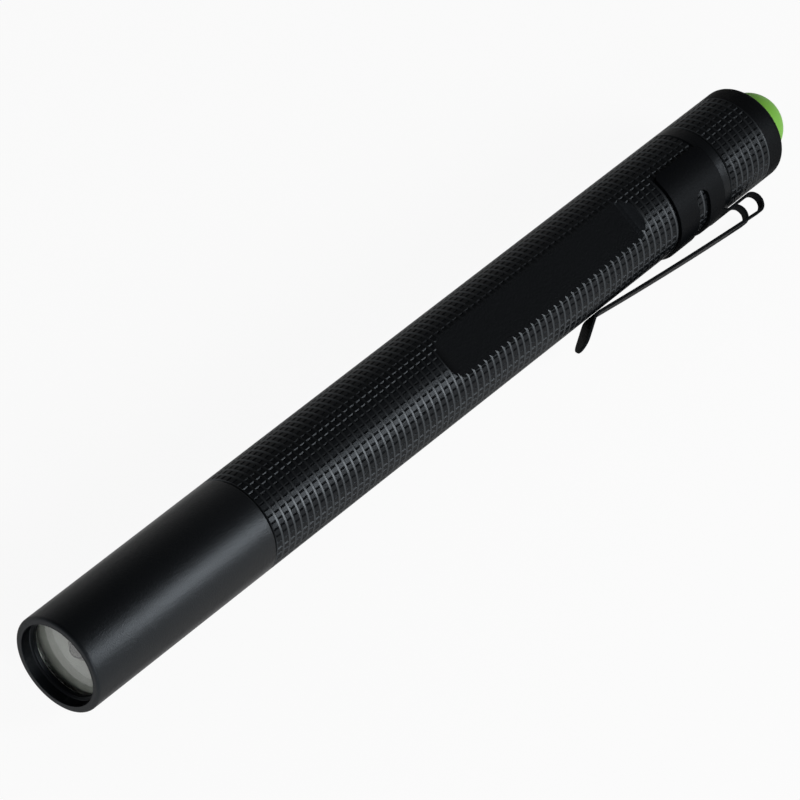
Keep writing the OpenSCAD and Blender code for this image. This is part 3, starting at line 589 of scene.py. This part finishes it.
armSlot += arcPoints((clip["slotStart"], clip["legInner"] - slotCorner), slotCorner, 90, 180, 5)
bm = bmesh.new()
for points in (blank, bandSlot, armSlot):
    addLoop(bm, points)
bmesh.ops.triangle_fill(bm, use_beauty=True, use_dissolve=False, edges=bm.edges[:])
innerEdges = [edge for edge in bm.edges if len(edge.link_faces) == 2]
bmesh.ops.dissolve_limit(bm, angle_limit=clip["flatLimit"], verts=[], edges=innerEdges)


def sliceAt(bm, place, way):
    bmesh.ops.bisect_plane(bm, geom=bm.verts[:] + bm.edges[:] + bm.faces[:], plane_co=Vector(way) * place * mm,
                           plane_no=way, dist=weld)


def sliceRange(bm, start, stop, count, way, first=0):
    for i in range(first, count + 1):
        sliceAt(bm, start + (stop - start) * i / count, way)


for i in range(1, slices["band"]):
    sliceAt(bm, -wrapHalf + 2 * wrapHalf * i / slices["band"], (0, 1, 0))
sliceRange(bm, 0.0, clip["rise"], slices["rise"], (1, 0, 0))
sliceRange(bm, stations[0], stations[1], slices["loop"], (1, 0, 0))
sliceRange(bm, stations[1], stations[2], slices["bow"], (1, 0, 0), 1)
sliceRange(bm, stations[2], stations[-1], slices["bend"], (1, 0, 0), 1)
bmesh.ops.remove_doubles(bm, verts=bm.verts, dist=clip["leastEdge"] * mm)
bmesh.ops.dissolve_degenerate(bm, dist=weld, edges=bm.edges[:])
for vert in bm.verts:
    run, aside = vert.co.x / mm, vert.co.y / mm
    turn = aside / clip["middle"]
    roundPlace = (clip["bandRear"] + run, clip["middle"] * math.cos(turn), clip["middle"] * math.sin(turn))
    if run <= 0:
        x, height, side = roundPlace
    else:
        share = min(run / clip["rise"], 1.0)
        share = share * share * (3 - 2 * share)
        x, height = bentPlace(run)
        height = height * share + roundPlace[1] * (1 - share)
        side = aside * share + roundPlace[2] * (1 - share)
    vert.co = Vector((x, -height, side)) * mm
bmesh.ops.recalc_face_normals(bm, faces=bm.faces)
pocketClip = makePiece(bm, "pocketClip", ["clipBlack"], None, ["clip_band", "clip_arm"],
                       clip["sharp"])
thick = pocketClip.modifiers.new("sheet", "SOLIDIFY")
thick.thickness, thick.offset, thick.use_even_offset = clip["sheet"] * mm, 0.0, True
soft = pocketClip.modifiers.new("softEdges", "BEVEL")
soft.width, soft.segments = clip["softEdge"] * mm, 2
soft.limit_method, soft.angle_limit = "ANGLE", math.radians(clip["softAngle"])
soft.use_clamp_overlap, soft.loop_slide = False, False
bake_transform(pocketClip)
print("clip made:", len(pocketClip.data.polygons), "faces")


# white walls round a pale floor, under a dim ceiling
def studioWorld(world):
    tree = world.node_tree
    tree.nodes.clear()
    out = addNode(tree, "ShaderNodeOutputWorld", (600, 0))
    coords = addNode(tree, "ShaderNodeTexCoord", (-600, 0))
    parts = addNode(tree, "ShaderNodeSeparateXYZ", (-400, 0))
    fall = addNode(tree, "ShaderNodeMapRange", (-200, 0), interpolation_type="SMOOTHSTEP", From_Min=0.3, From_Max=0.72,
                   To_Min=0.35, To_Max=0.05)
    glow = addNode(tree, "ShaderNodeBackground", (200, 0), Color=(1, 1, 1, 1))
    tree.links.new(coords.outputs["Generated"], parts.inputs["Vector"])
    tree.links.new(parts.outputs["Z"], fall.inputs["Value"])
    tree.links.new(fall.outputs["Result"], glow.inputs["Strength"])
    tree.links.new(glow.outputs[0], out.inputs["Surface"])


# pale for light that falls on it, near white where it is seen, with some of the shadow left
def floorMaterial():
    material = bpy.data.materials.new("paleFloor")
    material.use_nodes = True
    tree = material.node_tree
    tree.nodes.clear()
    out = addNode(tree, "ShaderNodeOutputMaterial", (600, 0))
    plain = addNode(tree, "ShaderNodeBsdfDiffuse", (200, 100), Color=(0.86, 0.86, 0.86, 1))
    glow = addNode(tree, "ShaderNodeEmission", (0, -200), Color=(1, 1, 1, 1), Strength=1.0)
    shown = addNode(tree, "ShaderNodeMixShader", (200, -100), Fac=0.93)
    path = addNode(tree, "ShaderNodeLightPath", (-400, 300))
    seen = addNode(tree, "ShaderNodeMath", (-200, 300), operation="MAXIMUM")
    through = addNode(tree, "ShaderNodeMath", (0, 300), operation="MAXIMUM")
    choose = addNode(tree, "ShaderNodeMixShader", (400, 0))
    tree.links.new(plain.outputs[0], shown.inputs[1])
    tree.links.new(glow.outputs[0], shown.inputs[2])
    tree.links.new(path.outputs["Is Camera Ray"], seen.inputs[0])
    tree.links.new(path.outputs["Is Glossy Ray"], seen.inputs[1])
    tree.links.new(seen.outputs[0], through.inputs[0])
    tree.links.new(path.outputs["Is Transmission Ray"], through.inputs[1])
    tree.links.new(through.outputs[0], choose.inputs["Fac"])
    tree.links.new(plain.outputs[0], choose.inputs[1])
    tree.links.new(shown.outputs[0], choose.inputs[2])
    tree.links.new(choose.outputs[0], out.inputs["Surface"])
    return material


scene = bpy.context.scene
scene.view_settings.view_transform = "Standard"
if scene.world is None:
    scene.world = bpy.data.worlds.new("studio")
scene.world.use_nodes = True
studioWorld(scene.world)

floorPlan = {"size": 3.0, "middle": 0.07}
bm = bmesh.new()
bmesh.ops.create_grid(bm, x_segments=1, y_segments=1, size=floorPlan["size"],
                      matrix=Matrix.Translation((floorPlan["middle"], 0, cadBox[0].z)))
floorMesh = bpy.data.meshes.new("paleFloor")
bm.to_mesh(floorMesh)
bm.free()
floorMesh.materials.append(floorMaterial())
paleFloor = bpy.data.objects.new("paleFloor", floorMesh)
scene.collection.objects.link(paleFloor)

# the photograph's view: across is the side of the tube that faces the camera, along is the tube
shot = {"lens": 243.0, "sensor": 36.0, "nearest": 0.01, "back": -342.9, "out": 555.4, "panelTurn": 1.1,
        "right": (0.63602, 0.46714, 0.61422), "up": (0.49516, 0.36342, -0.78914)}
turn = math.radians(shot["panelTurn"])
along = Vector((1, 0, 0))
across = math.cos(turn) * panelWay + math.sin(turn) * clipWay
sideways = math.cos(turn) * clipWay - math.sin(turn) * panelWay


def tubeWay(parts):
    return (parts[0] * along + parts[1] * across + parts[2] * sideways).normalized()


rightWay, upWay = tubeWay(shot["right"]), tubeWay(shot["up"])
backWay = rightWay.cross(upWay)
cameraData = bpy.data.cameras.new("shotCamera")
cameraData.lens, cameraData.sensor_width, cameraData.clip_start = shot["lens"], shot["sensor"], shot["nearest"]
camera = bpy.data.objects.new("shotCamera", cameraData)
scene.collection.objects.link(camera)
camera.matrix_world = Matrix.Translation((shot["back"] * along + shot["out"] * across) * mm) @ Matrix(
    (rightWay, upWay, backWay)).transposed().to_4x4()
scene.camera = camera

lamps = {
    "keyLamp": {"way": (0.5, 0.72, 0.46), "far": 0.45, "size": 0.2, "power": 1.25},
    "frontLamp": {"way": (-0.42, 0.7, 0.58), "far": 0.55, "size": 0.26, "power": 1.2},
}
middle = Vector((0.072, 0, 0))
for name, lamp in lamps.items():
    data = bpy.data.lights.new(name, "AREA")
    data.shape, data.size, data.energy = "DISK", lamp["size"], lamp["power"]
    lampObject = bpy.data.objects.new(name, data)
    scene.collection.objects.link(lampObject)
    way = tubeWay(lamp["way"])
    lampObject.location = middle + way * lamp["far"]
    lampObject.rotation_euler = way.to_track_quat("Z", "Y").to_euler()
print("stage, camera and lamps made")
